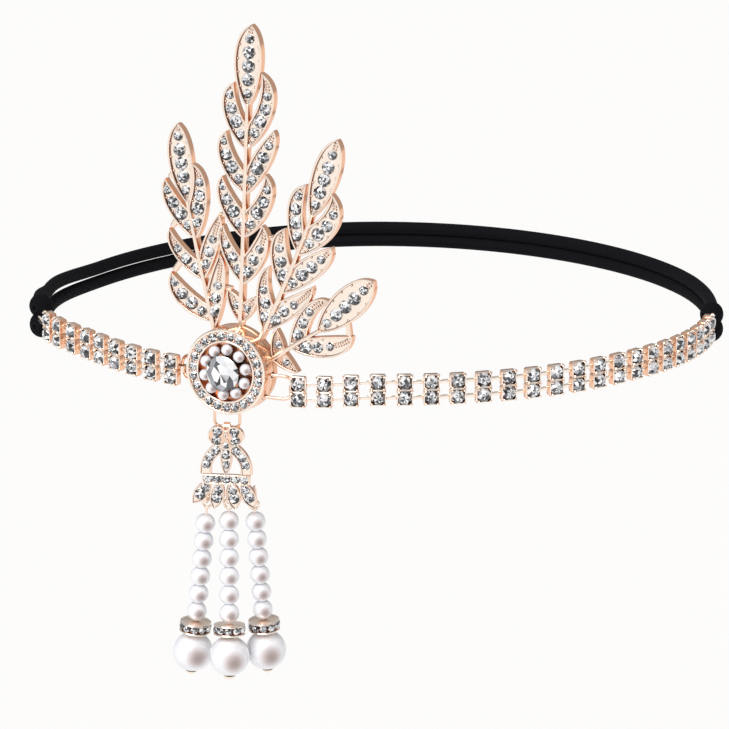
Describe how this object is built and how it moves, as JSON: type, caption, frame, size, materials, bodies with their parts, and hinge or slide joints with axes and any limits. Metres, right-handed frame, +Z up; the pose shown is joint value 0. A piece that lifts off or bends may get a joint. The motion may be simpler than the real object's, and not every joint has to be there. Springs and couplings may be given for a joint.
{
  "type": "flapper headband",
  "caption": "Round elastic-backed headband of set stones with an off-centre medallion, a pierced leaf spray standing above it and a pearl drop swinging below it.",
  "frame": {"origin": "centre of the loop at the height of the chain, where the head goes through", "axes": "+Z up, the front of the headband faces -Y, +X to its right as seen from the front"},
  "size_m": [0.182, 0.1826, 0.1673],
  "materials": {
    "rose_gold": "polished rose gold plate",
    "crystal": "clear cut stone with foiled back",
    "pearl": "white pearl lustre",
    "elastic": "matte knitted elastic"
  },
  "bodies": {
    "headband": {"chain_right": "rose_gold", "chain_left": "rose_gold", "elastic_upper": "elastic", "elastic_lower": "elastic", "knot_right": "elastic", "knot_left": "elastic", "medallion_housing": "rose_gold", "centre_stone": "crystal", "pearl_1": "pearl", "pearl_2": "pearl", "pearl_3": "pearl", "pearl_4": "pearl", "pearl_5": "pearl", "pearl_6": "pearl", "pearl_7": "pearl", "pearl_8": "pearl", "pearl_9": "pearl", "pearl_10": "pearl", "ring_right": "rose_gold", "ring_left": "rose_gold", "leaf_spray": "rose_gold"},
    "link": {"drop_link": "rose_gold"},
    "drop": {"drop_plate": "rose_gold", "strand_left": "pearl", "rondelle_left": "rose_gold", "drop_pearl_left": "pearl", "cap_left": "rose_gold", "strand_middle": "pearl", "rondelle_middle": "rose_gold", "drop_pearl_middle": "pearl", "cap_middle": "rose_gold", "strand_right": "pearl", "rondelle_right": "rose_gold", "drop_pearl_right": "pearl", "cap_right": "rose_gold"}
  },
  "joints": [
    {"name": "link_swing", "type": "hinge", "parent": "headband", "child": "link", "pos_m": [-0.03782, -0.07863, -0.00495], "axis": [-0.9563, 0.2924, 0], "range_deg": [-10, 20]},
    {"name": "drop_swing", "type": "hinge", "parent": "link", "child": "drop", "pos_m": [-0.03782, -0.07863, -0.0119], "axis": [-0.9563, 0.2924, 0], "range_deg": [-45, 20]}
  ]
}
